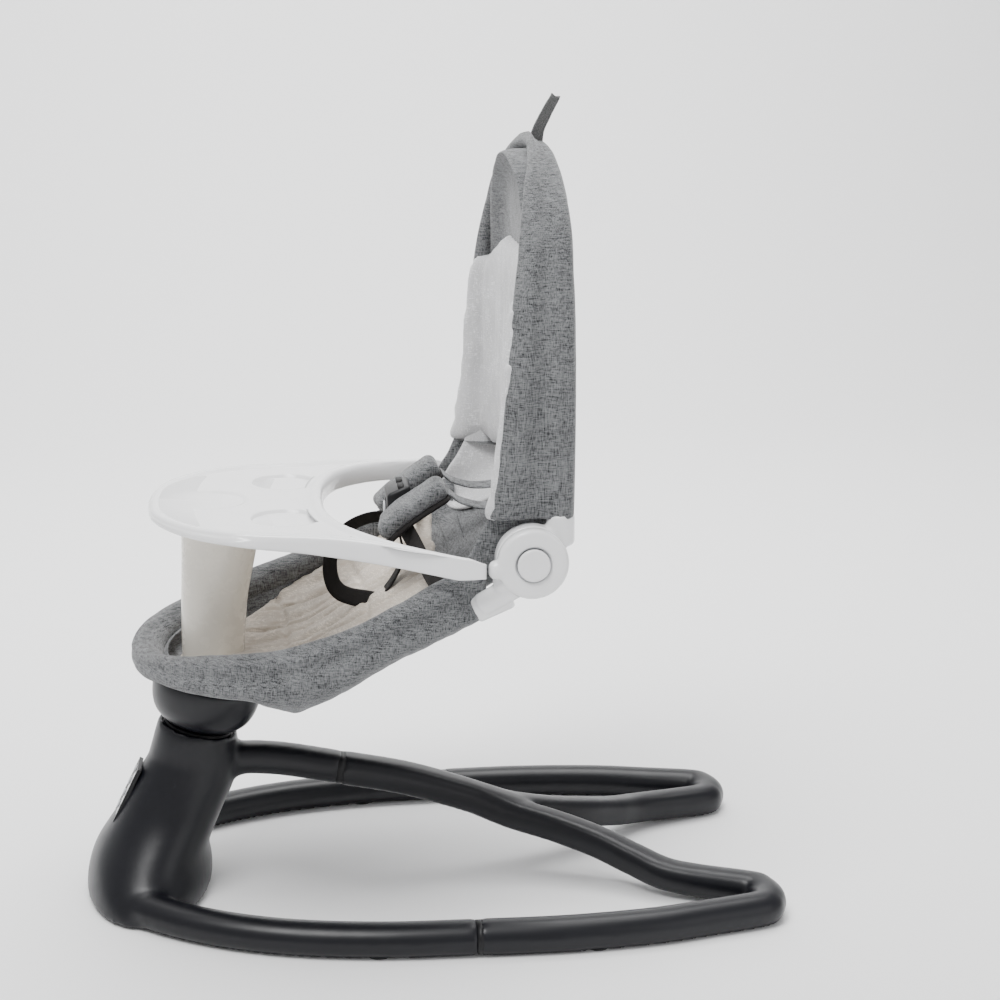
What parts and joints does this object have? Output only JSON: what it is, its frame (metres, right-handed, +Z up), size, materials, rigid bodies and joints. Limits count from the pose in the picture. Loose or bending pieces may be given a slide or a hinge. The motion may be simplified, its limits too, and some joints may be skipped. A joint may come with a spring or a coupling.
{
  "type": "baby swing",
  "caption": "Baby seat with a reclining back and a lift-off tray that swings side to side on a tilted motor-driven shaft in a column on a forked floor base.",
  "frame": {"origin": "on the floor under the middle of the base", "axes": "+X to the head end, +Y to the child's right, +Z up"},
  "size_m": [0.7, 0.422, 0.795],
  "materials": {
    "charcoal_plastic": "satin moulded",
    "black_plastic": "satin",
    "white_plastic": "glossy",
    "cream_plastic": "satin",
    "button_plastic": "satin",
    "steel": "brushed",
    "nylon": "natural",
    "rubber": "matt",
    "circuit": "varnished",
    "window": "tinted gloss",
    "melange_fabric": "grey woven melange",
    "beige_fabric": "quilted cotton",
    "white_fabric": "soft knit",
    "black_webbing": "woven webbing"
  },
  "bodies": {
    "base": {"base_body": "charcoal_plastic", "rear_fork": "charcoal_plastic", "base_cover": "charcoal_plastic", "cover_screws": "steel", "rubber_feet": "rubber", "control_panel": "black_plastic", "panel_window": "window", "circuit_board": "circuit", "speaker": "black_plastic", "dc_socket": "black_plastic", "gear_motor": "steel", "gearbox": "steel", "motor_bracket": "steel", "bearing_housing": "charcoal_plastic", "upper_bush": "nylon", "lower_bush": "nylon"},
    "seat": {"sector_gear": "nylon", "swing_shaft": "steel", "shaft_nut": "steel", "swing_head": "charcoal_plastic", "seat_bracket": "steel", "bracket_screws": "steel", "seat_tube": "steel", "left_seat_hub": "white_plastic", "right_seat_hub": "white_plastic", "left_pivot_pin": "steel", "right_pivot_pin": "steel", "seat_shell": "melange_fabric", "seat_pad": "beige_fabric", "crotch_strap": "black_webbing", "left_waist_strap": "black_webbing", "right_waist_strap": "black_webbing", "harness_buckle": "black_plastic"},
    "backrest": {"left_back_hub": "white_plastic", "right_back_hub": "white_plastic", "back_tube": "steel", "backrest_shell": "melange_fabric", "backrest_pad": "white_fabric", "left_shoulder_strap": "melange_fabric", "right_shoulder_strap": "melange_fabric", "head_loop": "melange_fabric"},
    "drive_pinion": {"drive_pinion": "steel"},
    "left_recline_button": {"left_recline_button": "white_plastic", "left_lock_gear": "steel", "left_button_spring": "steel"},
    "right_recline_button": {"right_recline_button": "white_plastic", "right_lock_gear": "steel", "right_button_spring": "steel"},
    "power_button": {"power_button": "button_plastic"},
    "speed_button": {"speed_button": "button_plastic"},
    "timer_button": {"timer_button": "button_plastic"},
    "music_button": {"music_button": "button_plastic"},
    "buckle_button": {"buckle_button": "button_plastic"},
    "tray": {"tray": "white_plastic", "tray_post": "cream_plastic"}
  },
  "joints": [
    {"name": "seat_swing", "type": "hinge", "parent": "base", "child": "seat", "pos_m": [-0.232, 0, 0.172], "axis": [0.2419, 0, 0.9703], "range_deg": [-12, 12]},
    {"name": "pinion_spin", "type": "hinge", "parent": "base", "child": "drive_pinion", "pos_m": [-0.26111, 0, 0.17926], "axis": [0.2419, 0, 0.9703], "range_deg": [-36.5, 36.5]},
    {"name": "back_recline", "type": "hinge", "parent": "seat", "child": "backrest", "pos_m": [0.082, 0, 0.388], "axis": [0, 1, 0], "range_deg": [0, 68]},
    {"name": "tray_lift", "type": "slide", "parent": "seat", "child": "tray", "axis": [0, 0, 1], "range_m": [0, 0.12]},
    {"name": "left_recline_push", "type": "slide", "parent": "seat", "child": "left_recline_button", "axis": [0, 1, 0], "range_m": [0, 0.004], "stiffness_N_per_m": 600, "springref_m": -0.002, "deforming": ["left_button_spring"]},
    {"name": "right_recline_push", "type": "slide", "parent": "seat", "child": "right_recline_button", "axis": [0, -1, 0], "range_m": [0, 0.004], "stiffness_N_per_m": 600, "springref_m": -0.002, "deforming": ["right_button_spring"]},
    {"name": "power_push", "type": "slide", "parent": "base", "child": "power_button", "axis": [0.8988, 0, -0.4384], "range_m": [0, 0.0012], "stiffness_N_per_m": 500, "springref_m": -0.002},
    {"name": "speed_push", "type": "slide", "parent": "base", "child": "speed_button", "axis": [0.8988, 0, -0.4384], "range_m": [0, 0.0012], "stiffness_N_per_m": 500, "springref_m": -0.002},
    {"name": "timer_push", "type": "slide", "parent": "base", "child": "timer_button", "axis": [0.8988, 0, -0.4384], "range_m": [0, 0.0012], "stiffness_N_per_m": 500, "springref_m": -0.002},
    {"name": "music_push", "type": "slide", "parent": "base", "child": "music_button", "axis": [0.8988, 0, -0.4384], "range_m": [0, 0.0012], "stiffness_N_per_m": 500, "springref_m": -0.002},
    {"name": "buckle_push", "type": "slide", "parent": "seat", "child": "buckle_button", "axis": [1, 0, 0], "range_m": [0, 0.002], "stiffness_N_per_m": 500, "springref_m": -0.002}
  ],
  "couplings": [
    {"joint": "pinion_spin", "follows": "seat_swing", "ratio": -3}
  ]
}
